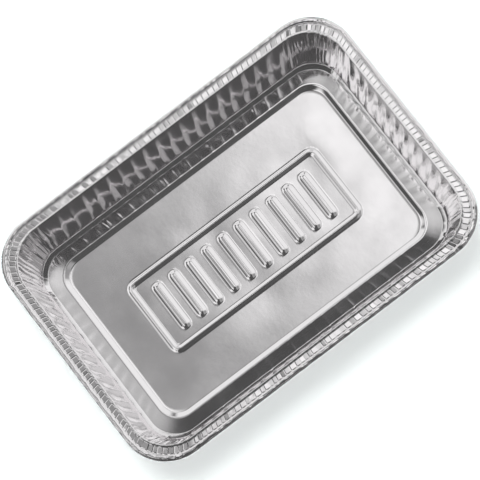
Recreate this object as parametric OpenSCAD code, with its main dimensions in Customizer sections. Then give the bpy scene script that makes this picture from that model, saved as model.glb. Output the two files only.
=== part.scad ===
// Pressed foil drip pan: one sheet of foil drawn into a tray with fluted walls,
// a crimped flange, a rolled edge and an embossed floor. Millimetres, +Z up.
// The origin is at the middle of the underside, on the surface the pan stands on.

/* [Pan] */
// Length over the rolled edge
pan_length = 214; // [180:1:340]
// Width over the rolled edge
pan_width = 148.5; // [120:0.5:260]
// Height from the table to the top of the rolled edge
pan_height = 32; // [20:0.5:60]
// Thickness of the foil
foil_t = 0.1; // [0.06:0.01:0.25]
// Corner radius of the outline at the rolled edge
rim_corner_r = 25; // [20:0.5:32]
// Corner radius of the flat floor
floor_corner_r = 10; // [6:0.5:14]

/* [Rim] */
// Radius of the rolled edge
curl_r = 1.4; // [1:0.1:2]
// Width of the crimped flange between the rolled edge and the lip
flange_w = 3.7; // [2.5:0.1:8]
// Drop of the flange below the lip
lip_step = 0.45; // [0.2:0.05:0.8]
// Drop of the lip below the top of the rolled edge
lip_drop = 0.3; // [0.1:0.05:0.6]
// Width of the raised lip round the mouth
lip_w = 0.7; // [0.5:0.1:2]
// Depth of the crimps pressed across the flange
crimp_depth = 0.24; // [0:0.02:0.4]

/* [Wall] */
// How far the wall leans inwards from the lip to the step
wall_run = 6.9; // [4:0.1:12]
// Depth of the flutes in the wall
flute_depth = 0.9; // [0.2:0.05:1.4]
// Flutes along each long side
flutes_long = 20; // [14:1:22]
// Flutes along each short side
flutes_short = 12; // [8:1:14]
// Wrinkles round each corner
corner_wrinkles = 10; // [5:1:12]
// Depth of the wrinkles in the corners
wrinkle_depth = 0.5; // [0.1:0.05:0.8]

/* [Foot] */
// Height of the step where the wall meets the foot
step_h = 3.1; // [2:0.1:6]
// Width of the step
step_w = 2.2; // [1.2:0.1:4]
// Width of the gutter round the floor
gutter_w = 7.2; // [4:0.1:12]
// Rise of the gutter's crest over the floor
gutter_rise = 1.1; // [0.6:0.1:1.6]
// Width of the bevel from the crest down to the floor
bevel_w = 2.7; // [1.5:0.1:5]

/* [Floor] */
// Length of the bead frame over its outer edge
frame_length = 120; // [96:1:124]
// Width of the bead frame over its outer edge
frame_width = 45; // [36:1:60]
// Corner radius of the bead frame
frame_corner_r = 5; // [3:0.5:8]
// Width of the bead
bead_w = 3.2; // [2:0.1:4]
// Height of the bead over the floor
bead_h = 0.9; // [0.4:0.1:1.5]
// Number of stiffening ribs inside the frame
rib_count = 10; // [4:1:10]
// Gap between the bead frame and the ribs
rib_gap = 5; // [3:0.5:8]
// Share of the distance from rib to rib that a rib takes up
rib_share = 0.5; // [0.35:0.05:0.7]
// Height of a rib over the floor
rib_h = 0.8; // [0.4:0.1:1.5]

/* [Hidden] */

// Every line of the section lies in the middle of the foil
skin = foil_t / 2;
half_l = pan_length / 2 - skin;
half_w = pan_width / 2 - skin;
floor_z = skin;

// Inset of the section's lines from the outline
flange_d = 2 * curl_r + 0.2;
lip_d = flange_d + flange_w;
shoulder_d = lip_d + lip_w;
step_d = shoulder_d + wall_run;
foot_d = step_d + step_w;
crest_d = foot_d + gutter_w;
floor_d = crest_d + bevel_w;

// Height of the section's lines
curl_z = pan_height - skin - curl_r;
lip_z = pan_height - skin - lip_drop;
flange_z = lip_z - lip_step;
wall_top_z = lip_z - 0.1 * (lip_z - step_h);
foot_z = floor_z + 0.3;
corner_slope = (rim_corner_r - floor_corner_r) / floor_d;

// A line round the pan: half sides, corner radius, height, share of the flutes and of the crimps
function pan_line(d, z, flute = 0, crimp = 0) =
    [half_l - d, half_w - d, rim_corner_r - corner_slope * d, z, flute, crimp];
function curl_line(turn) = pan_line(curl_r * (1 - cos(turn)), curl_z + curl_r * sin(turn));
function bead_line(d, z) =
    [frame_length / 2 - d, frame_width / 2 - d, frame_corner_r - d / 2, floor_z + z, 0, 0];

curl_lines = [for (turn = [-135:45:135]) curl_line(turn)];
wall_lines = [
    pan_line(flange_d, flange_z, 0, 1),
    pan_line(lip_d, flange_z, 0, 0.8),
    pan_line(lip_d + lip_w / 2, lip_z),
    pan_line(shoulder_d + 0.1 * wall_run, wall_top_z, 1),
    pan_line(step_d, step_h, 0.8),
    pan_line(foot_d, foot_z, 0.15)
];
floor_lines = [
    pan_line(crest_d, floor_z + gutter_rise),
    pan_line(floor_d, floor_z)
];
bead_lines = [
    bead_line(0, 0),
    bead_line(0.3 * bead_w, bead_h),
    bead_line(0.7 * bead_w, bead_h),
    bead_line(bead_w, 0)
];
lines = concat(curl_lines, wall_lines, floor_lines, bead_lines);
last = len(lines) - 1;

// Stations along a line: side number and share along that side, even sides straight, odd ones corners
function stations(long, short, corner, shift) = [
    for (side = [0:7])
        let (n = side % 2 == 1 ? corner : side % 4 == 0 ? long : short)
            for (i = [0:n - 1]) [side, (i + shift) / n]
];
smooth_set = stations(10, 6, 8, 0);
fluted_set = stations(4 * flutes_long, 4 * flutes_short, 2 * corner_wrinkles, 0.5);
bead_set = stations(2, 2, 6, 0);
line_sets = concat(
    [for (l = curl_lines) smooth_set],
    [for (l = wall_lines) fluted_set],
    [for (l = floor_lines) smooth_set],
    [for (l = bead_lines) bead_set]
);

// Waves of the foil at a station
function cells(side) = side % 2 == 1 ? corner_wrinkles : side % 4 == 0 ? flutes_long : flutes_short;
function uneven(st) = 0.7 + 0.3 * sin(137 * floor(2 * st[1] * cells(st[0])) + 50 * st[0]);
function flute_wave(st) =
    let (p = st[1] * cells(st[0]), q = p - floor(p))
    st[0] % 2 == 1
        ? wrinkle_depth * uneven(st) * sin(360 * p)
        : flute_depth * (min(1, max(0, 1.5 - 2 * abs(2 * q - 1))) - 0.5);
function crimp_wave(st) =
    crimp_depth * uneven(st) * sin(360 * st[1] * cells(st[0]) * (st[0] % 2 == 1 ? 1 : 2));

// The point of a line at a station
function heading(st) =
    let (turn = 90 * (floor(st[0] / 2) - 1 + (st[0] % 2) * st[1]))
    [cos(turn), sin(turn)];
function centre(x, y, st) =
    let (side = st[0], s = st[1], c = [[x, -y], [x, y], [-x, y], [-x, -y]])
    side % 2 == 1 ? c[(side - 1) / 2] : (1 - s) * c[(side / 2 + 3) % 4] + s * c[side / 2];
function place(l, st) =
    let (xy = centre(l[0] - l[2], l[1] - l[2], st) + (l[2] + l[4] * flute_wave(st)) * heading(st))
    [xy[0], xy[1], l[3] + l[5] * crimp_wave(st)];

// The foil's upward direction at a station; level lines of the floor keep it upright
function upward(k, i) =
    let (set = line_sets[k], n = len(set), st = set[i])
    lines[k][3] == floor_z
        ? [0, 0, 1]
        : let (
              along = place(lines[k], set[(i + 1) % n]) - place(lines[k], set[(i + n - 1) % n]),
              across = place(lines[min(k + 1, last)], st) - place(lines[max(k - 1, 0)], st),
              up = cross(along, across)
          ) up / norm(up);

// The ribbed field inside the bead frame
field_x = frame_length / 2 - bead_w - rib_gap;
field_y = frame_width / 2 - bead_w - rib_gap;
rib_pitch = 2 * field_x / rib_count;
rib_w = rib_share * rib_pitch;
rib_xs = [
    for (r = [0:rib_count - 1])
        for (e = [-0.5, -0.22, 0.22, 0.5]) (r + 0.5) * rib_pitch - field_x + e * rib_w
];
grid_x = concat([-field_x - rib_gap / 2], rib_xs, [field_x + rib_gap / 2]);
rib_end = 0.28 * rib_w;
grid_y = [
    -field_y - rib_gap / 2, -field_y, -field_y + rib_end,
    field_y - rib_end, field_y, field_y + rib_gap / 2
];
nx = len(grid_x);
ny = len(grid_y);
function raised(i, j) =
    i > 0 && i < nx - 1 && (i % 4 == 2 || i % 4 == 3) && (j == 2 || j == 3) ? rib_h : 0;
function grid_point(i, j) = [grid_x[i], grid_y[j], floor_z + raised(i, j)];
function grid_upward(i, j) =
    i == 0 || j == 0 || i == nx - 1 || j == ny - 1
        ? [0, 0, 1]
        : let (
              along = grid_point(i + 1, j) - grid_point(i - 1, j),
              across = grid_point(i, j + 1) - grid_point(i, j - 1),
              up = cross(along, across)
          ) up / norm(up);
field_edge = concat(
    [for (i = [1:nx - 1]) [i == nx - 1 ? 1.5 : i / (nx - 1), i, 0]],
    [for (j = [1:ny - 1]) [j == ny - 1 ? 3.5 : 2 + j / (ny - 1), nx - 1, j]],
    [for (i = [nx - 2:-1:0]) [i == 0 ? 5.5 : 5 - i / (nx - 1), i, ny - 1]],
    [for (j = [ny - 2:-1:0]) [j == 0 ? 7.5 : 7 - j / (ny - 1), 0, j]]
);

// Points: both skins of the foil, line by line, then the ribbed field
starts = [for (k = 0, s = 0; k <= last + 1; s = s + (k <= last ? len(line_sets[k]) : 0), k = k + 1) s];
field_start = starts[last + 1];
mids = concat(
    [for (k = [0:last]) for (st = line_sets[k]) place(lines[k], st)],
    [for (j = [0:ny - 1]) for (i = [0:nx - 1]) grid_point(i, j)]
);
ups = concat(
    [for (k = [0:last]) for (i = [0:len(line_sets[k]) - 1]) upward(k, i)],
    [for (j = [0:ny - 1]) for (i = [0:nx - 1]) grid_upward(i, j)]
);
count = len(mids);

// A loop: how far round each point lies, and the number of the point
function line_loop(k) =
    [[for (st = line_sets[k]) st[0] + st[1]], [for (i = [0:len(line_sets[k]) - 1]) starts[k] + i]];
field_loop = [[for (e = field_edge) e[0]], [for (e = field_edge) field_start + e[2] * nx + e[1]]];
function middles(u) = [for (i = [0:len(u) - 1]) i < len(u) - 1 ? (u[i] + u[i + 1]) / 2 : (u[i] + u[0] + 8) / 2];

// Triangles between an outer and an inner loop
function between(outer, inner) =
    let (a = outer[1], b = inner[1], n = len(a), m = len(b))
    n == m
        ? [
              for (i = [0:n - 1])
                  let (j = (i + 1) % n)
                      for (f = [[a[i], a[j], b[j]], [a[i], b[j], b[i]]]) f
          ]
        : let (um = middles(outer[0]), vm = middles(inner[0]))
          concat(
              [for (i = [0:n - 1]) [a[i], a[(i + 1) % n], b[len([for (v = vm) if (v < um[i]) v]) % m]]],
              [for (j = [0:m - 1]) [b[(j + 1) % m], b[j], a[len([for (u = um) if (u <= vm[j]) u]) % n]]]
          );
field_cells = [
    for (j = [0:ny - 2])
        for (i = [0:nx - 2])
            let (c = field_start + j * nx + i)
                for (f = [[c, c + 1, c + nx + 1], [c, c + nx + 1, c + nx]]) f
];
sheet = concat(
    [for (k = [0:last - 1]) for (f = between(line_loop(k), line_loop(k + 1))) f],
    between(line_loop(last), field_loop),
    field_cells
);
edge_n = len(line_sets[0]);
edge = [
    for (i = [0:edge_n - 1])
        let (j = (i + 1) % edge_n)
            for (f = [[i, j, count + j], [i, count + j, count + i]]) f
];

module pan() {
    color("silver")
        polyhedron(
            points = concat(
                [for (i = [0:count - 1]) mids[i] + skin * ups[i]],
                [for (i = [0:count - 1]) mids[i] - skin * ups[i]]
            ),
            faces = concat(
                [for (f = sheet) [f[2], f[1], f[0]]],
                [for (f = sheet) [count + f[0], count + f[1], count + f[2]]],
                edge
            ),
            convexity = 8
        );
}

pan();
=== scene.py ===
"""Foil drip pan on a white studio floor.

The file is laid out as a Blender add-on and is run as a script: main() presses the pan
from flat sheets, gives it the finish of rolled foil and sets up the studio round it.
"""

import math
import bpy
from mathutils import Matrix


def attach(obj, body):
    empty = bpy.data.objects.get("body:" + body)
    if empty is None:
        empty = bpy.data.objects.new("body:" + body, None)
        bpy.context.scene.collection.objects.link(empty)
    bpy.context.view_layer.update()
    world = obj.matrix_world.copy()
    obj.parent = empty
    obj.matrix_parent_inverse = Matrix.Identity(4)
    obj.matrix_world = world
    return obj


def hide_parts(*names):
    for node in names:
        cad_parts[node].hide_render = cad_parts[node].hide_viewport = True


bl_info = {
    "name": "Foil Drip Pan",
    "version": (1, 0, 0),
    "blender": (4, 5, 0),
    "location": "3D View > Sidebar > Foil Pan",
    "description": "Presses a fluted foil drip pan and sets up a white studio for it",
    "category": "Add Mesh",
}

import bpy
import numpy as np
from mathutils import Vector, noise

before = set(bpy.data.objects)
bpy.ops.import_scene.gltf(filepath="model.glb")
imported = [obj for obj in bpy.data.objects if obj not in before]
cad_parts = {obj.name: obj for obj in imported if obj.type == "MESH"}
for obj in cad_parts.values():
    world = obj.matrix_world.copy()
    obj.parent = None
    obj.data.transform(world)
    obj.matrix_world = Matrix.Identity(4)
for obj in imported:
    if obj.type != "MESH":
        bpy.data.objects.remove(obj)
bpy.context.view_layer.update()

MM = 0.001
# Round the pan, the straight sides take turns with the corners, which have the odd numbers
NEAR, RIGHT, FAR, LEFT = 0, 2, 4, 6


# Helpers


def linear_colour(text):
    """Turns an sRGB hex colour such as C8CACC into linear red, green, blue and alpha."""
    channels = [int(text[i:i + 2], 16) / 255 for i in (0, 2, 4)]
    linear = [c / 12.92 if c <= 0.04045 else ((c + 0.055) / 1.055) ** 2.4 for c in channels]
    return (*linear, 1.0)


def add_node(tree, kind, settings=None, values=None, links=None):
    """Adds a node, sets its properties and socket values, and links sockets to it."""
    node = tree.nodes.new(kind)
    for name, value in (settings or {}).items():
        setattr(node, name, value)
    for socket, value in (values or {}).items():
        node.inputs[socket].default_value = value
    for socket, source in (links or {}).items():
        tree.links.new(source, node.inputs[socket])
    return node


def start_clean():
    """Leaves nothing selected, so that an operator works on the new piece alone."""
    if bpy.context.object and bpy.context.object.mode != "OBJECT":
        bpy.ops.object.mode_set(mode="OBJECT")
    bpy.ops.object.select_all(action="DESELECT")


def add_sheet(name, columns, rows):
    """Adds a flat sheet of cells and returns it with each vertex's column and row."""
    start_clean()
    bpy.ops.mesh.primitive_grid_add(x_subdivisions=columns, y_subdivisions=rows, size=1)
    sheet = bpy.context.object
    sheet.name = name
    flat = np.empty(len(sheet.data.vertices) * 3)
    sheet.data.vertices.foreach_get("co", flat)
    flat = flat.reshape(-1, 3)
    column = np.rint((flat[:, 0] + 0.5) * columns).astype(int)
    row = np.rint((flat[:, 1] + 0.5) * rows).astype(int)
    return sheet, column, row


def move_vertices(sheet, places):
    """Moves the sheet's vertices to places given in millimetres."""
    sheet.data.vertices.foreach_set("co", (places * MM).ravel())
    sheet.data.update()


# Settings


class FoilPanSizes(bpy.types.PropertyGroup):
    """Sizes of the pan, in millimetres.

    They are those of the part's source, but for the height of the bead and the depth of the
    flutes, crimps and creases, which differ from it by up to 0.2.
    """

    length: bpy.props.FloatProperty(
        name="Length", description="Over the rolled edge, mm", default=214.0)
    width: bpy.props.FloatProperty(
        name="Width", description="Over the rolled edge, mm", default=148.5)
    height: bpy.props.FloatProperty(
        name="Height", description="Table to rolled edge, mm", default=32.0)
    foil: bpy.props.FloatProperty(
        name="Foil", description="Thickness of the foil, mm", default=0.1)
    rim_corner: bpy.props.FloatProperty(
        name="Rim corner", description="Corner radius of the outline, mm", default=25.0)
    floor_corner: bpy.props.FloatProperty(
        name="Floor corner", description="Corner radius of the floor, mm", default=10.0)
    curl: bpy.props.FloatProperty(
        name="Rolled edge", description="Radius of the rolled edge, mm", default=1.4)
    flange: bpy.props.FloatProperty(
        name="Flange", description="Width of the crimped flange, mm", default=3.7)
    lip: bpy.props.FloatProperty(
        name="Lip", description="Width of the raised lip, mm", default=0.7)
    wall_run: bpy.props.FloatProperty(
        name="Wall run", description="How far the wall leans inwards, mm", default=6.9)
    flute_depth: bpy.props.FloatProperty(
        name="Flute depth", description="Depth of the wall's flutes, mm", default=0.8)
    flutes_long: bpy.props.IntProperty(
        name="Long flutes", description="Flutes on a long side", default=20)
    flutes_short: bpy.props.IntProperty(
        name="Short flutes", description="Flutes on a short side", default=12)
    crimp_pitch: bpy.props.FloatProperty(
        name="Crimp pitch", description="From crimp to crimp, mm", default=3.0)
    crimp_depth: bpy.props.FloatProperty(
        name="Crimp depth", description="Height of the flange's crimps, mm", default=0.2)
    crease_depth: bpy.props.FloatProperty(
        name="Crease depth", description="Depth of the corner creases, mm", default=0.6)
    crumple_depth: bpy.props.FloatProperty(
        name="Crumple depth", description="Unevenness of the wall, mm", default=0.22)
    step_height: bpy.props.FloatProperty(
        name="Step height", description="Where the wall meets the foot, mm", default=3.1)
    step: bpy.props.FloatProperty(
        name="Step", description="Width of the step, mm", default=2.2)
    gutter: bpy.props.FloatProperty(
        name="Gutter", description="Width of the gutter, mm", default=7.2)
    gutter_rise: bpy.props.FloatProperty(
        name="Gutter rise", description="Crest over the floor, mm", default=1.1)
    bevel: bpy.props.FloatProperty(
        name="Bevel", description="Width of the bevel to the floor, mm", default=2.7)
    frame_length: bpy.props.FloatProperty(
        name="Frame length", description="Bead frame over its edge, mm", default=120.0)
    frame_width: bpy.props.FloatProperty(
        name="Frame width", description="Bead frame over its edge, mm", default=45.0)
    frame_corner: bpy.props.FloatProperty(
        name="Frame corner", description="Bead frame's corner radius, mm", default=5.0)
    bead: bpy.props.FloatProperty(
        name="Bead", description="Width of the bead, mm", default=3.2)
    bead_height: bpy.props.FloatProperty(
        name="Bead height", description="Bead over the floor, mm", default=0.7)
    ribs: bpy.props.IntProperty(
        name="Ribs", description="Ribs inside the bead frame", default=10)
    rib_gap: bpy.props.FloatProperty(
        name="Rib gap", description="From the bead to the ribs, mm", default=5.0)
    rib_height: bpy.props.FloatProperty(
        name="Rib height", description="Rib over the floor, mm", default=0.8)


class FoilPanLook(bpy.types.PropertyGroup):
    """Finish of the foil."""

    colour: bpy.props.StringProperty(
        name="Foil colour", description="sRGB hex of the bare metal", default="F4F2F3")
    gloss: bpy.props.FloatProperty(
        name="Roughness", description="Roughness of the bright side", subtype="FACTOR",
        min=0.0, max=1.0, default=0.1)


class FoilPanStudio(bpy.types.PropertyGroup):
    """Camera of the studio."""

    camera_place: bpy.props.FloatVectorProperty(
        name="Camera place", description="Where the camera stands", subtype="TRANSLATION",
        unit="LENGTH", default=(-0.107294, -0.505701, 2.156882))
    camera_turn: bpy.props.FloatVectorProperty(
        name="Camera turn", description="Degrees", default=(12.34832, 5.808704, -36.793283))
    lens: bpy.props.FloatProperty(
        name="Lens", description="Focal length on a 36 mm sensor", unit="CAMERA", default=327.74)


# Waves that the press leaves in the foil

PRESS_SEED = 11
# Crimps: where the first one lies, half the width of a groove, and how uneven their pitch is
FIRST_CRIMP = 0.6
GROOVE_HALF = 0.4
CRIMP_SPREAD = (0.75, 1.25)
# Grooves are added until the last one is within this many pitches of the end of the round
LAST_CRIMP_ROOM = 1.3
# A groove's depth, and how far its two edges stand apart in height, as shares of the crimp depth
GROOVE_DEEP = (0.75, 1.0)
CRIMP_TWIST = 0.7
# On the long sides, all crimps lean the same way a little
CRIMP_LEAN = 0.24
# The corner creases start to fade this far before the corner ends, and fade over this length
CREASE_FADE_START = 2.0
CREASE_FADE = 9.0
# Their shares of chance, of the crimps they carry on from and of a regular wave, and its swings
CREASE_SHARES = (0.6, 0.6, 0.3)
CREASE_SWINGS = 83
# The mean of a flute's arch, so that the wall keeps its mean place
ARCH_MEAN = 0.64
# How unevenly the flutes are spaced, in flutes, and how deep they are, as shares of their depth
FLUTE_SHIFT = (-0.08, 0.08)
FLUTE_DEEP = (0.7, 1.3)
# Ridges across the gutter of the long sides: their heights, and half their width in flutes
NEAR_RIDGE = 0.7
FAR_RIDGE = 1.4
RIDGE_HALF = 0.13
# Swells across the gutter of the short sides
RIGHT_SWELL = 0.55
LEFT_SWELL = 0.2
# Slow swings of the rim round the pan, with the share of each
WANDER = ((3, 0.5), (7, 0.3), (19, 0.2))


class Waves:
    """Flutes, crimps and creases at every station round the pan."""

    def __init__(self, sizes):
        self.chance = np.random.RandomState(PRESS_SEED)
        arc = math.pi / 2 * sizes.rim_corner
        long_side = sizes.length - 2 * sizes.rim_corner
        short_side = sizes.width - 2 * sizes.rim_corner
        spans = np.array([long_side, arc, short_side, arc] * 2)
        self.starts = np.concatenate([[0], np.cumsum(spans)])
        self.round = self.starts[-1]
        self.along = self.stations(sizes)
        self.number = len(self.along)
        self.side = np.searchsorted(self.starts, self.along, side="right") - 1
        self.share = (self.along - self.starts[self.side]) / spans[self.side]
        self.corner = self.side % 2 == 1
        middles = self.starts[1:-1:2] + arc / 2
        gap = np.abs(self.along[:, None] - middles[None, :])
        gap = np.minimum(gap, self.round - gap).min(axis=1)
        self.corner_share = 1 - self.ease((gap - arc / 2 + CREASE_FADE_START) / CREASE_FADE)
        self.count_flutes(sizes)
        self.crease = self.creases()
        self.wander = sum(self.slow(turns) * share for turns, share in WANDER)

    @staticmethod
    def ease(t):
        """Goes from 0 to 1 with soft ends."""
        t = np.clip(t, 0, 1)
        return t * t * (3 - 2 * t)

    def uneven(self, spread, *number):
        """Draws from a spread of low to high, once or as many times as the number says."""
        low, high = spread
        return low + (high - low) * self.chance.rand(*number)

    def slow(self, turns):
        """A gentle wave with the given number of swings round the pan."""
        return np.sin(2 * math.pi * (turns * self.along / self.round + self.chance.rand()))

    def stations(self, sizes):
        """Places round the rim: four for each crimp, at its groove, on either side and between."""
        grooves = [FIRST_CRIMP]
        while grooves[-1] < self.round - sizes.crimp_pitch * LAST_CRIMP_ROOM:
            grooves.append(grooves[-1] + sizes.crimp_pitch * self.uneven(CRIMP_SPREAD))
        grooves = np.array(grooves)
        deep = self.uneven(GROOVE_DEEP, len(grooves))
        tilt = self.uneven((-0.5, 0.5), len(grooves))
        between = (grooves + np.append(grooves[1:], grooves[0] + self.round)) / 2
        side = np.searchsorted(self.starts, grooves, side="right") - 1
        lean = CRIMP_LEAN * ((side == NEAR) * 1.0 - (side == FAR) * 1.0)
        before = -CRIMP_TWIST * tilt - lean
        after = CRIMP_TWIST * np.roll(tilt, -1) + lean
        self.crimp = np.stack([before, -deep, after, np.zeros_like(tilt)], -1).ravel()
        places = [grooves - GROOVE_HALF, grooves, grooves + GROOVE_HALF, between]
        return np.stack(places, -1).ravel()

    def creases(self):
        """Uneven sharp creases, one way and the other, that carry on from the crimps."""
        heights = self.uneven((-1, 1), self.number)
        chance, crimp, wave = CREASE_SHARES
        return chance * heights + crimp * self.crimp + wave * self.slow(CREASE_SWINGS)

    def count_flutes(self, sizes):
        """Counts the flutes along each straight side, a little uneven, with a depth for each."""
        self.turn = np.zeros(self.number)
        self.depth = np.zeros((self.number, 2))
        for side in (NEAR, RIGHT, FAR, LEFT):
            here = self.side == side
            flutes = sizes.flutes_long if side in (NEAR, FAR) else sizes.flutes_short
            edges = np.arange(flutes + 1.0)
            edges[1:-1] += self.uneven(FLUTE_SHIFT, flutes - 1)
            self.turn[here] = np.interp(self.share[here] * flutes, edges, np.arange(flutes + 1))
            deep = self.uneven(FLUTE_DEEP, flutes + 1)
            flute = np.minimum(self.turn[here].astype(int), flutes - 1)
            self.depth[here, 0] = deep[flute]
            self.depth[here, 1] = deep[flute + 1]

    def flutes(self, lean):
        """Rounded panels with a sharp crease between them, shifted along by the lean."""
        turn = self.turn + np.where(self.side >= FAR, lean, 0.5 - lean)
        passed = turn.astype(int) > self.turn.astype(int)
        deep = np.where(passed, self.depth[:, 1], self.depth[:, 0])
        return (1 - self.corner_share) * deep * (np.sin(math.pi * (turn % 1)) - ARCH_MEAN)

    def ripples(self, share):
        """Ridges across the gutter: narrow on the long sides, soft and fading in on the short."""
        away = np.abs(self.turn % 1 - 0.5)
        ridge = np.where(self.side == NEAR, NEAR_RIDGE, FAR_RIDGE)
        narrow = share * ridge * np.exp(-(away / RIDGE_HALF) ** 2)
        swell = np.where(self.side == RIGHT, RIGHT_SWELL, LEFT_SWELL)
        soft = share ** 2 * swell * (1 + np.cos(2 * math.pi * away))
        on_long = (self.side == NEAR) | (self.side == FAR)
        return (1 - self.corner_share) * self.depth[:, 0] * np.where(on_long, narrow, soft)


# Section of the pan

# The roll stands clear of the flange, the lip lies below the roll and the flange below the lip
ROLL_GAP = 0.2
LIP_DROP = 0.3
FLANGE_DROP = 0.45
# The wall ends this far below the step's height in a rounded foot
FOOT_DROP = 0.9
# Heights of the ripples and crumples in the gutter
RIPPLE_HEIGHT = 0.15
GUTTER_CRUMPLE = 0.1
# The roll follows a share of the creases, and is crumpled and sags unevenly by these heights
ROLL_CREASE = 0.4
ROLL_CRUMPLE = 0.16
ROLL_WANDER = 0.08
# The upper half of the pan wanders in and out by this much
RIM_WANDER = 0.12
# The roll stays this far inside the pan's height
ROLL_CLEAR = 0.002
# The flutes shift by half a flute from the foot of the wall to its top
FLUTE_LEAN = 0.5
# Size of the crumples, across and up: the foot of the wall is crinkled more finely than the rest
CRUMPLE_SIZE = (4.5, 14.0)
CRINKLE_SIZE = (2.4, 3.0)
# Smaller crumples on the larger ones: how many times finer, and their share
FINER = 2.3
FINER_SHARE = 0.35
# Rows with at least this share of crimp lie on the flange, and its grooves are sharp there
SCORED_SHARE = 0.6


class Lines:
    """Insets from the pan's outline, in millimetres, of the lines where its parts start."""

    def __init__(self, sizes):
        self.flange = 2 * sizes.curl + ROLL_GAP
        self.lip = self.flange + sizes.flange
        self.wall = self.lip + sizes.lip
        self.step = self.wall + sizes.wall_run
        self.gutter = self.step + sizes.step
        self.crest = self.gutter + sizes.gutter
        self.floor = self.crest + sizes.bevel


def outline(sizes, inset, waves, outward):
    """Places round the pan at an inset from its outline, pushed outward along the way they face."""
    narrowing = (sizes.rim_corner - sizes.floor_corner) * inset / Lines(sizes).floor
    radius = sizes.rim_corner - narrowing
    x = (sizes.length - sizes.foil) / 2 - inset - radius
    y = (sizes.width - sizes.foil) / 2 - inset - radius
    centres = np.array([(x, -y), (x, y), (-x, y), (-x, -y)])
    quarter = waves.side // 2
    share = waves.share[:, None]
    centre = np.where(
        waves.corner[:, None],
        centres[quarter],
        (1 - share) * centres[(quarter + 3) % 4] + share * centres[quarter])
    turn = (quarter - 1 + waves.corner * waves.share) * math.pi / 2
    heading = np.stack([np.cos(turn), np.sin(turn)], -1)
    return centre + (radius + outward)[:, None] * heading


def section(sizes, lines):
    """Rows of the section: inset, height, then the shares of flute, crimp, crease and crumple."""
    mid = sizes.foil / 2
    top = sizes.height - mid
    roll_z = top - sizes.curl
    lip_z = top - LIP_DROP
    flange_z = lip_z - FLANGE_DROP
    # The edge is rolled over: the turn round its middle in degrees, and a fold along its shoulder
    turns = ((-150, 0), (-90, 0), (-40, 0), (0, 0), (50, 0), (58, 0.22), (68, 0), (88, 0))
    roll = []
    for turn, fold in turns:
        side = math.cos(math.radians(turn))
        up = math.sin(math.radians(turn))
        reach = sizes.curl - fold
        share = max(0.0, up)
        place = (sizes.curl - reach * side, roll_z + reach * up)
        roll.append((*place, 0, 0.06 * share, 0.3 * share, 0.9))
    # Behind the fold the roll is pressed flat, and drops steeply to the flange
    rim = [
        (2 * sizes.curl - 0.7, top - 0.01, 0, 0.06, 0.3, 1.2),
        (2 * sizes.curl - 0.25, top - 0.06, 0, 0.1, 0.3, 1.2),
        (2 * sizes.curl, top - 0.4, 0, 0.3, 0.3, 0.3),
        (lines.flange, flange_z - 0.1, 0, 0.5, 0.3, 0.1),
        (lines.flange + 0.3, flange_z, 0, 0.9, 0.4, 0.1),
        (lines.flange + 0.7, flange_z + 0.02, 0, 1.0, 0.4, 0.1),
        (lines.lip - 0.6, flange_z + 0.02, 0, 1.0, 0.4, 0.1),
        (lines.lip - 0.15, flange_z + 0.04, 0, 0.7, 0.4, 0.1),
        (lines.lip + 0.1, lip_z - 0.15, 0, 0.1, 0.3, 0.1),
        (lines.lip + 0.4, lip_z, 0, 0.1, 0.3, 0.1),
        (lines.wall, lip_z - 0.15, 0.05, 0, 0.4, 0.3),
    ]
    # Down the wall: how far, then the shares of flute, crease and crumple
    stages = (
        (0.04, 0.1, 0.8, 0.5),
        (0.13, 0.4, 1, 0.7),
        (0.27, 0.75, 1, 0.9),
        (0.43, 0.95, 1, 1),
        (0.59, 1, 0.9, 1),
        (0.74, 0.95, 0.8, 0.9),
        (0.86, 0.8, 0.6, 1.1),
        (0.93, 0.5, 0.4, 1.5),
        (0.975, 0.2, 0.3, 1.1),
    )
    foot_z = sizes.step_height - FOOT_DROP
    drop = lip_z - foot_z
    wall = [
        (lines.wall + t * sizes.wall_run, lip_z - t * drop, flute, 0, crease, crumple)
        for t, flute, crease, crumple in stages
    ]
    crest_z = mid + sizes.gutter_rise
    middle_z = mid + 0.3 + 0.55 * (sizes.gutter_rise - 0.3)
    foot = [
        (lines.step + 0.08, foot_z - 0.06, 0.05, 0, 0.2, 0.1),
        (lines.step + 0.3, foot_z - 0.26, 0.02, 0, 0.15, 0.05),
        (lines.gutter - 0.1, mid + 0.45, 0, 0, 0.08, 0.02),
        (lines.gutter + 0.12, mid + 0.31, 0.5, 0, 0.04, 0.02),
        (lines.gutter + 0.35, mid + 0.33, 0.55, 0, 0.02, 0),
        (lines.gutter + 1.4, mid + 0.43, 0.9, 0, 0, 0.1),
        (lines.gutter + 0.55 * sizes.gutter, middle_z, 0.8, 0, 0, 0.15),
        (lines.crest - 0.8, crest_z - 0.09, 0.12, 0, 0, 0),
        (lines.crest - 0.1, crest_z - 0.01, 0, 0, 0, 0),
        (lines.crest + 0.2, crest_z - 0.06, 0, 0, 0, 0),
        (lines.crest + 0.6, crest_z - 0.25, 0, 0, 0, 0),
        (lines.floor - 0.7, mid + 0.2, 0, 0, 0, 0),
        (lines.floor - 0.3, mid + 0.04, 0, 0, 0, 0),
        (lines.floor, mid, 0, 0, 0, 0),
        (lines.floor + 1.2, mid, 0, 0, 0, 0),
    ]
    return np.array(roll + rim + wall + foot)


def unevenness(path, height, crumple):
    """How far the foil is pushed in or out at each place of a path, from -1 to 1 or so."""
    across, up = CRUMPLE_SIZE if crumple <= 1 else CRINKLE_SIZE
    spots = [Vector((x / across, y / across, height / up)) for x, y in path]
    return np.array([noise.noise(spot) + FINER_SHARE * noise.noise(FINER * spot) for spot in spots])


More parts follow.
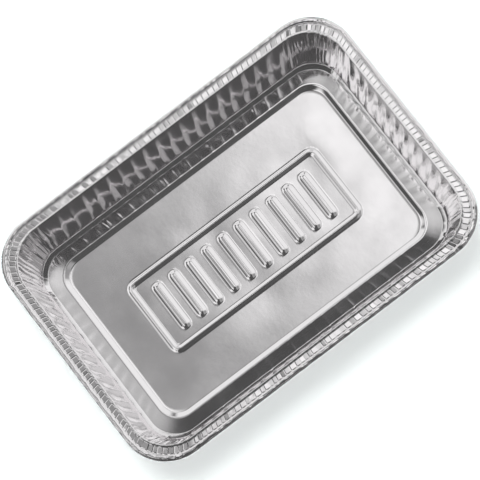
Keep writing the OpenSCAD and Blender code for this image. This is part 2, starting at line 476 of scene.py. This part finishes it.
def press_walls(sizes, waves):
    """Makes the rolled edge, flange, wall and gutter from one strip of foil."""
    lines = Lines(sizes)
    rows = section(sizes, lines)
    strip, column, row = add_sheet("pan_foil", waves.number, len(rows) - 1)
    column = column % waves.number
    places = np.empty((len(rows), waves.number, 3))
    for i, (inset, height, flute, crimp, crease, crumple) in enumerate(rows):
        even = outline(sizes, inset, waves, np.zeros(waves.number))
        mottle = unevenness(even, height, crumple)
        # The creases run a little slanted: they move on by a station every third row
        creases = crease * sizes.crease_depth * np.roll(waves.crease, i // 3) * waves.corner_share
        outward = creases + crumple * sizes.crumple_depth * mottle
        rise = crimp * sizes.crimp_depth * waves.crimp
        if inset > lines.gutter:
            rise = rise + RIPPLE_HEIGHT * waves.ripples(flute) + GUTTER_CRUMPLE * crumple * mottle
        else:
            lean = FLUTE_LEAN * height / sizes.height
            outward = outward + flute * sizes.flute_depth * waves.flutes(lean)
        if height > sizes.height / 2:
            outward = outward + RIM_WANDER * waves.wander * min(1, crumple + 0.3)
        if inset < 2 * sizes.curl:
            sag = ROLL_WANDER * (1 + waves.wander)
            rise = rise + ROLL_CREASE * creases - sag + ROLL_CRUMPLE * crumple * mottle
            rise = np.minimum(rise, -ROLL_CLEAR)
            outward = np.minimum(outward, 0.0)
        places[i, :, :2] = outline(sizes, inset, waves, outward)
        places[i, :, 2] = height + rise
    move_vertices(strip, places[row, column])
    score(strip, column, row, rows, lines.wall)
    return strip, np.flatnonzero(row == len(rows) - 1)


def score(strip, column, row, rows, lip_end):
    """Keeps the crimps crisp, and the line where the lip turns down into the wall."""
    ends = np.empty(len(strip.data.edges) * 2, dtype=np.int32)
    strip.data.edges.foreach_get("vertices", ends)
    ends = ends.reshape(-1, 2)
    station = column[ends]
    # Three of a crimp's four stations lie at its groove, and the fourth between two grooves
    along_groove = (station[:, 0] == station[:, 1]) & (station[:, 0] % 4 < 3)
    on_flange = (rows[row[ends], 3] > SCORED_SHARE).all(axis=1)
    on_lip = np.isclose(rows[row[ends], 0], lip_end).all(axis=1)
    strip.data.edges.foreach_set("use_edge_sharp", (along_groove & on_flange) | on_lip)


# Floor of the pan

# Flat foil between the walls' strip and the floor's sheet, which is filled after they are joined
FLOOR_GAP = 4.5
# How far the fine grid of the floor's sheet goes past the bead frame
FINE_PAST = 1.2
# Lines of its grid, within that reach and beyond it on either side
GRID_ALONG = (140, 4)
GRID_ACROSS = (56, 5)
# Width of the rounded slopes at a bead's and a rib's sides
BEAD_SLOPE = 1.3
RIB_SLOPE = 1.2
# The floor is buckled a little: how high, lifted by how much of that so that no dip goes below
# the table, how broad, and how far from the border of the floor's sheet it is full
BUCKLE_HEIGHT = 0.18
BUCKLE_LIFT = 0.8
BUCKLE_SIZE = (38, 30)
SMALL_BUCKLE_SIZE = 15
BUCKLE_FADE = 14
# Where the joined sheets are to be filled
SEAM = "floor_seam"


def fine_lines(half, inner, fine, coarse):
    """Grid lines from -half to half, closer together inside plus or minus inner."""
    middle = np.linspace(-inner, inner, fine)
    side = np.linspace(inner, half, coarse + 1)[1:]
    return np.concatenate([-side[::-1], middle, side])


def plateau(distance, half, slope):
    """Height share of an embossed form: 1 on top, 0 outside, with rounded slopes."""
    return Waves.ease((half - distance) / slope)


def press_floor(sizes):
    """Makes the floor with its bead frame and ribs from a sheet of foil."""
    inset = Lines(sizes).floor
    half_x = sizes.length / 2 - inset - FLOOR_GAP
    half_y = sizes.width / 2 - inset - FLOOR_GAP
    x_lines = fine_lines(half_x, sizes.frame_length / 2 + FINE_PAST, *GRID_ALONG)
    y_lines = fine_lines(half_y, sizes.frame_width / 2 + FINE_PAST, *GRID_ACROSS)
    sheet, column, row = add_sheet("pan_floor", len(x_lines) - 1, len(y_lines) - 1)
    x = x_lines[column]
    y = y_lines[row]
    # Distance to the bead's middle line, which is a rectangle with round corners
    corner = sizes.frame_corner - sizes.bead / 2
    past_x = np.abs(x) - (sizes.frame_length - sizes.bead) / 2 + corner
    past_y = np.abs(y) - (sizes.frame_width - sizes.bead) / 2 + corner
    outside = np.hypot(np.maximum(past_x, 0), np.maximum(past_y, 0))
    inside = np.minimum(np.maximum(past_x, past_y), 0)
    to_bead = np.abs(outside + inside - corner)
    z = sizes.bead_height * plateau(to_bead, sizes.bead / 2, BEAD_SLOPE)
    field_x = sizes.frame_length / 2 - sizes.bead - sizes.rib_gap
    field_y = sizes.frame_width / 2 - sizes.bead - sizes.rib_gap
    pitch = 2 * field_x / sizes.ribs
    # A rib takes up half the pitch, and the gap to the next rib the other half
    half_rib = 0.25 * pitch
    for k in range(sizes.ribs):
        middle = (k + 0.5) * pitch - field_x
        to_rib = np.hypot(x - middle, np.maximum(np.abs(y) - field_y + half_rib, 0))
        z = np.maximum(z, sizes.rib_height * plateau(to_rib, half_rib, RIB_SLOPE))
    buckle = np.empty(len(x))
    for k, (a, b) in enumerate(zip(x, y)):
        broad = noise.noise(Vector((a / BUCKLE_SIZE[0], b / BUCKLE_SIZE[1], 0.4)))
        small = noise.noise(Vector((a / SMALL_BUCKLE_SIZE, b / SMALL_BUCKLE_SIZE, 3.1)))
        buckle[k] = broad + FINER_SHARE * small
    to_border = np.minimum((half_x - np.abs(x)) / BUCKLE_FADE, (half_y - np.abs(y)) / BUCKLE_FADE)
    z = z + sizes.foil / 2 + BUCKLE_HEIGHT * Waves.ease(to_border) * (buckle + BUCKLE_LIFT)
    move_vertices(sheet, np.stack([x, y, z], -1))
    across = (column == 0) | (column == len(x_lines) - 1)
    along = (row == 0) | (row == len(y_lines) - 1)
    return sheet, np.flatnonzero(across | along)


class FOILPAN_OT_press(bpy.types.Operator):
    """Presses the pan from foil: the walls and rim, the floor, and the foil's thickness."""

    bl_idname = "foilpan.press"
    bl_label = "Press the Pan"

    def execute(self, context):
        sizes = context.scene.foil_pan_sizes
        strip, strip_seam = press_walls(sizes, Waves(sizes))
        floor, floor_seam = press_floor(sizes)
        self.mark(strip, strip_seam)
        self.mark(floor, floor_seam)
        self.join(strip, floor)
        self.close(strip)
        self.thicken(strip, sizes)
        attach(strip, "root")
        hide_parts("pan")
        return {"FINISHED"}

    @staticmethod
    def mark(sheet, seam):
        """Puts a sheet's seam in a vertex group, to find it again after the join."""
        group = sheet.vertex_groups.new(name=SEAM)
        group.add(seam.tolist(), 1.0, "REPLACE")

    @staticmethod
    def join(strip, floor):
        """Makes the strip and the floor one mesh."""
        start_clean()
        floor.select_set(True)
        strip.select_set(True)
        bpy.context.view_layer.objects.active = strip
        bpy.ops.object.join()

    @staticmethod
    def close(strip):
        """Closes the strip where its ends meet, and fills the flat gap between it and the floor."""
        bpy.ops.object.mode_set(mode="EDIT")
        bpy.ops.mesh.select_mode(type="EDGE")
        bpy.ops.mesh.select_all(action="SELECT")
        bpy.ops.mesh.remove_doubles(threshold=1e-6)
        bpy.ops.mesh.select_all(action="DESELECT")
        strip.vertex_groups.active_index = strip.vertex_groups[SEAM].index
        bpy.ops.object.vertex_group_select()
        bpy.ops.mesh.fill(use_beauty=True)
        bpy.ops.mesh.select_all(action="SELECT")
        bpy.ops.mesh.normals_make_consistent(inside=False)
        bpy.ops.object.mode_set(mode="OBJECT")
        middle = min(strip.data.polygons, key=lambda face: face.center.xy.length)
        if middle.normal.z < 0:
            bpy.ops.object.mode_set(mode="EDIT")
            bpy.ops.mesh.select_all(action="SELECT")
            bpy.ops.mesh.flip_normals()
            bpy.ops.object.mode_set(mode="OBJECT")
        strip.vertex_groups.clear()

    @staticmethod
    def thicken(strip, sizes):
        """Gives the foil its thickness and smooths its shading."""
        solidify = strip.modifiers.new("foil_thickness", "SOLIDIFY")
        solidify.thickness = sizes.foil * MM
        solidify.offset = 0
        bpy.ops.object.modifier_apply(modifier=solidify.name)
        bpy.ops.object.shade_smooth()


# Finish

# Sizes of the foil's patterns, in millimetres
ROLLING_LINE_GAP = 0.4
ROLLING_LINE_LENGTH = 16.667
PATCH_SIZE = 20.0
DENT_SIZE = 3.846
# How far the patches are from the foil's own roughness
BRIGHTER = 0.03
DULLER = 0.05
# Heights of the lines and dents, in metres
LINE_HEIGHT = 0.00005
DENT_HEIGHT = 0.0001


def rolled_foil(look):
    """Rolled aluminium foil, bright side: a soft mirror with fine lines along the rolling way."""
    material = bpy.data.materials.new("rolled_aluminium_foil_bright_side")
    material.use_nodes = True
    tree = material.node_tree
    tree.nodes.clear()
    place = add_node(tree, "ShaderNodeTexCoord").outputs["Object"]
    # Rolling lines lie along the pan, and drag its reflections out sideways. The real ones are
    # finer, and these are as coarse as they need to be to show
    across = 1 / (ROLLING_LINE_GAP * MM)
    stretched = add_node(
        tree, "ShaderNodeMapping",
        values={"Scale": (1 / (ROLLING_LINE_LENGTH * MM), across, across)}, links={"Vector": place})
    lines = add_node(
        tree, "ShaderNodeTexNoise", values={"Scale": 1.0, "Detail": 2.0, "Roughness": 0.6},
        links={"Vector": stretched.outputs["Vector"]})
    # Handling dulls the foil in patches
    patches = add_node(
        tree, "ShaderNodeTexNoise",
        values={"Scale": 1 / (PATCH_SIZE * MM), "Detail": 3.0, "Roughness": 0.55},
        links={"Vector": place})
    rough = add_node(
        tree, "ShaderNodeMapRange",
        values={
            "From Min": 0.3, "From Max": 0.7,
            "To Min": look.gloss - BRIGHTER, "To Max": look.gloss + DULLER},
        links={"Value": patches.outputs["Fac"]})
    # Small dents, as on any thin foil
    dents = add_node(
        tree, "ShaderNodeTexNoise",
        values={"Scale": 1 / (DENT_SIZE * MM), "Detail": 2.0, "Roughness": 0.6},
        links={"Vector": place})
    dent_bump = add_node(
        tree, "ShaderNodeBump", values={"Strength": 0.07, "Distance": DENT_HEIGHT},
        links={"Height": dents.outputs["Fac"]})
    line_bump = add_node(
        tree, "ShaderNodeBump", values={"Strength": 0.03, "Distance": LINE_HEIGHT},
        links={"Height": lines.outputs["Fac"], "Normal": dent_bump.outputs["Normal"]})
    shader = add_node(
        tree, "ShaderNodeBsdfPrincipled",
        values={"Base Color": linear_colour(look.colour), "Metallic": 1.0},
        links={"Roughness": rough.outputs["Result"], "Normal": line_bump.outputs["Normal"]})
    add_node(tree, "ShaderNodeOutputMaterial", links={"Surface": shader.outputs["BSDF"]})
    return material


class FOILPAN_OT_finish(bpy.types.Operator):
    """Gives the pan the bright finish of rolled foil."""

    bl_idname = "foilpan.finish"
    bl_label = "Foil Finish"

    def execute(self, context):
        pan = bpy.data.objects["pan_foil"]
        pan.data.materials.clear()
        pan.data.materials.append(rolled_foil(context.scene.foil_pan_look))
        return {"FINISHED"}


# Studio

CARD_COLOUR = "EDF4F3"
# The card's own light, as the camera sees it and as the foil mirrors it
CARD_GLOW = 0.37
CARD_GLOW_MIRRORED = 0.12
# Light that falls on the card from all round, and a stronger one from above and a little behind
# the pan, so that its shadow falls to the front: the way it lies, its fade in degrees, its strength
CARD_LIGHT = 0.56
CARD_KEY = ((0.03, 0.27, 0.96), 6, 19, 11.0)

# A long soft light hangs along the pan, a little behind it. Its strength from left to right,
# as the foil sees it: how far right it lies, from -1 to 1, and how bright it is there
LONG_LIGHT = (
    (-1.0, 0.7), (-0.82, 0.7), (-0.76, 0.04), (-0.56, 0.04), (-0.50, 0.42), (-0.40, 0.52),
    (-0.22, 0.49), (-0.14, 0.28), (0.0, 0.27), (0.04, 0.32), (0.055, 0.6), (0.08, 0.92),
    (0.185, 0.92), (0.23, 0.28), (0.32, 0.42), (0.38, 0.78), (0.7, 0.82), (1.0, 0.8),
)
LONG_LIGHT_WAY = (0.0, 0.228, 0.972)
LONG_LIGHT_STRENGTH = 1.4
# It is full within the first angle from its middle line and gone at the second, in degrees
LONG_LIGHT_HALF = (5.5, 10)
ROOM_LEVEL = 0.095
# Round soft lights: the way they lie, where they start and stop to fade in degrees, and their
# strength
SOFT_LIGHTS = (
    ((0.05, 0.84, 0.54), 20, 28, 1.1),
    ((0.77, 0.25, 0.59), 20, 30, 1.1),
    ((-0.36, 0.23, 0.9), 12, 20, 0.6),
    ((-0.41, 0.03, 0.91), 8, 15, 1.2),
    ((-0.33, 0.44, 0.84), 10, 18, 1.2),
    ((0.42, 0.05, 0.9), 8, 18, 0.9),
    ((0.45, 0.4, 0.8), 6, 14, 0.9),
    ((0.35, 0.47, 0.81), 8, 16, 0.9),
    ((0.0, -0.62, 0.78), 16, 34, 0.11),
    ((0.3, -0.58, 0.76), 1, 15, 0.42),
    ((0.28, -0.4, 0.87), 1, 15, 0.5),
    ((0.5, -0.3, 0.81), 8, 20, 0.4),
)
# The room is pale near the floor all round, and a little higher up except in front. Each fade is
# nothing at the first value of its axis and full, at the strength given last, at the second
HORIZON = ("Z", 0.4, 0.28, 1.0)
BACKDROP = ("Z", 0.42, 0.28, 0.9)
PAST_FRONT = ("Y", -0.6, -0.1, 1.0)


def white_floor():
    """Matt white card: white to the eye, and it keeps the pan's soft shadow."""
    material = bpy.data.materials.new("matt_white_card")
    material.use_nodes = True
    tree = material.node_tree
    tree.nodes.clear()
    path = add_node(tree, "ShaderNodeLightPath")
    mirrored = add_node(
        tree, "ShaderNodeMath", {"operation": "MAXIMUM"},
        links={0: path.outputs["Is Glossy Ray"], 1: path.outputs["Is Transmission Ray"]})
    faint = add_node(
        tree, "ShaderNodeMath", {"operation": "MULTIPLY"}, {1: CARD_GLOW_MIRRORED},
        {0: mirrored.outputs["Value"]})
    lift = add_node(
        tree, "ShaderNodeMath", {"operation": "MULTIPLY_ADD"}, {1: CARD_GLOW},
        {0: path.outputs["Is Camera Ray"], 2: faint.outputs["Value"]})
    card = add_node(
        tree, "ShaderNodeBsdfDiffuse", values={"Color": linear_colour(CARD_COLOUR)})
    glow = add_node(tree, "ShaderNodeEmission", links={"Strength": lift.outputs["Value"]})
    both = add_node(
        tree, "ShaderNodeAddShader", links={0: card.outputs["BSDF"], 1: glow.outputs["Emission"]})
    add_node(tree, "ShaderNodeOutputMaterial", links={"Surface": both.outputs["Shader"]})
    return material


def long_light(tree, way, axes):
    """The long light's level: its strength across it, times its profile along it."""
    across = add_node(
        tree, "ShaderNodeVectorMath", {"operation": "DOT_PRODUCT"},
        {1: (0.0, LONG_LIGHT_WAY[2], -LONG_LIGHT_WAY[1])}, {0: way})
    off = add_node(
        tree, "ShaderNodeMath", {"operation": "ABSOLUTE"}, links={0: across.outputs["Value"]})
    full, gone = (math.sin(math.radians(angle)) for angle in LONG_LIGHT_HALF)
    band = add_node(
        tree, "ShaderNodeMapRange", {"interpolation_type": "SMOOTHSTEP"},
        {"From Min": gone, "From Max": full, "To Min": 0.0, "To Max": LONG_LIGHT_STRENGTH},
        {"Value": off.outputs["Value"]})
    right = add_node(
        tree, "ShaderNodeMath", {"operation": "MULTIPLY_ADD"}, {1: 0.5, 2: 0.5},
        {0: axes.outputs["X"]})
    profile = add_node(tree, "ShaderNodeValToRGB", links={"Fac": right.outputs["Value"]})
    stops = profile.color_ramp.elements
    for place, _ in LONG_LIGHT[1:-1]:
        stops.new(0.5 + 0.5 * place)
    for stop, (place, level) in zip(stops, LONG_LIGHT):
        stop.position = 0.5 + 0.5 * place
        stop.color = (level, level, level, 1.0)
    return add_node(
        tree, "ShaderNodeMath", {"operation": "MULTIPLY"},
        links={0: band.outputs["Result"], 1: profile.outputs["Color"]}).outputs["Value"]


def studio_world():
    """White studio: white to the eye, and soft lights in a darker room as the foil sees it."""
    world = bpy.data.worlds.new("white_studio")
    bpy.context.scene.world = world
    world.use_nodes = True
    tree = world.node_tree
    tree.nodes.clear()
    way = add_node(tree, "ShaderNodeTexCoord").outputs["Generated"]
    axes = add_node(tree, "ShaderNodeSeparateXYZ", links={"Vector": way})
    round_lights = []
    for place, inner, outer, strength in (*SOFT_LIGHTS, CARD_KEY):
        toward = add_node(
            tree, "ShaderNodeVectorMath", {"operation": "DOT_PRODUCT"},
            {1: Vector(place).normalized()}, {0: way})
        edge, core = (math.cos(math.radians(angle)) for angle in (outer, inner))
        light = add_node(
            tree, "ShaderNodeMapRange", {"interpolation_type": "SMOOTHSTEP"},
            {"From Min": edge, "From Max": core, "To Min": 0.0, "To Max": strength},
            {"Value": toward.outputs["Value"]})
        round_lights.append(light.outputs["Result"])
    key = round_lights.pop()
    fades = []
    for axis, start, full, strength in (HORIZON, BACKDROP, PAST_FRONT):
        fade = add_node(
            tree, "ShaderNodeMapRange", {"interpolation_type": "SMOOTHSTEP"},
            {"From Min": start, "From Max": full, "To Min": 0.0, "To Max": strength},
            {"Value": axes.outputs[axis]})
        fades.append(fade.outputs["Result"])
    horizon, low, past_front = fades
    backdrop = add_node(
        tree, "ShaderNodeMath", {"operation": "MULTIPLY"}, links={0: low, 1: past_front})
    # The foil sees the brightest of all these, and never less than the room
    level = add_node(
        tree, "ShaderNodeMath", {"operation": "MAXIMUM"}, {1: ROOM_LEVEL},
        {0: long_light(tree, way, axes)})
    for light in (*round_lights, backdrop.outputs["Value"], horizon):
        level = add_node(
            tree, "ShaderNodeMath", {"operation": "MAXIMUM"},
            links={0: level.outputs["Value"], 1: light})
    path = add_node(tree, "ShaderNodeLightPath")
    seen = add_node(
        tree, "ShaderNodeMix", {"data_type": "FLOAT"}, {"B": 1.0},
        {"Factor": path.outputs["Is Camera Ray"], "A": level.outputs["Value"]})
    card_light = add_node(
        tree, "ShaderNodeMath", {"operation": "ADD"}, {1: CARD_LIGHT}, {0: key})
    plain = add_node(
        tree, "ShaderNodeMix", {"data_type": "FLOAT"}, links={
            "Factor": path.outputs["Is Diffuse Ray"],
            "A": seen.outputs["Result"],
            "B": card_light.outputs["Value"]})
    sky = add_node(tree, "ShaderNodeBackground", links={"Strength": plain.outputs["Result"]})
    add_node(tree, "ShaderNodeOutputWorld", links={"Surface": sky.outputs["Background"]})
    # The light is soft enough to be found without a map of the world
    world.cycles.sampling_method = "NONE"


class FOILPAN_OT_studio(bpy.types.Operator):
    """Sets up the white floor, the soft lights and the camera."""

    bl_idname = "foilpan.studio"
    bl_label = "Set Up the Studio"

    def execute(self, context):
        studio = context.scene.foil_pan_studio
        start_clean()
        bpy.ops.mesh.primitive_plane_add(size=6, location=(0, 0, 0))
        floor = context.object
        floor.name = "studio_floor"
        floor.data.materials.append(white_floor())
        studio_world()
        bpy.ops.object.camera_add(
            location=studio.camera_place, rotation=[math.radians(a) for a in studio.camera_turn])
        camera = context.object
        camera.data.sensor_width = 36
        camera.data.lens = studio.lens
        camera.data.clip_end = 20
        context.scene.camera = camera
        context.scene.view_settings.view_transform = "Standard"
        return {"FINISHED"}


class FOILPAN_PT_panel(bpy.types.Panel):
    """Lists the steps and settings of the foil pan."""

    bl_label = "Foil Pan"
    bl_idname = "FOILPAN_PT_panel"
    bl_space_type = "VIEW_3D"
    bl_region_type = "UI"
    bl_category = "Foil Pan"

    def draw(self, context):
        layout = self.layout
        for operator in STEPS:
            layout.operator(operator.bl_idname)
        for name in ("foil_pan_sizes", "foil_pan_look", "foil_pan_studio"):
            group = getattr(context.scene, name)
            box = layout.box()
            for key in group.__annotations__:
                box.prop(group, key)


STEPS = (FOILPAN_OT_press, FOILPAN_OT_finish, FOILPAN_OT_studio)
GROUPS = (FoilPanSizes, FoilPanLook, FoilPanStudio)


def register():
    for item in (*GROUPS, *STEPS, FOILPAN_PT_panel):
        bpy.utils.register_class(item)
    bpy.types.Scene.foil_pan_sizes = bpy.props.PointerProperty(type=FoilPanSizes)
    bpy.types.Scene.foil_pan_look = bpy.props.PointerProperty(type=FoilPanLook)
    bpy.types.Scene.foil_pan_studio = bpy.props.PointerProperty(type=FoilPanStudio)


def unregister():
    del bpy.types.Scene.foil_pan_studio
    del bpy.types.Scene.foil_pan_look
    del bpy.types.Scene.foil_pan_sizes
    for item in reversed((*GROUPS, *STEPS, FOILPAN_PT_panel)):
        bpy.utils.unregister_class(item)


def main():
    register()
    bpy.ops.foilpan.press()
    bpy.ops.foilpan.finish()
    bpy.ops.foilpan.studio()


if __name__ == "__main__":
    main()
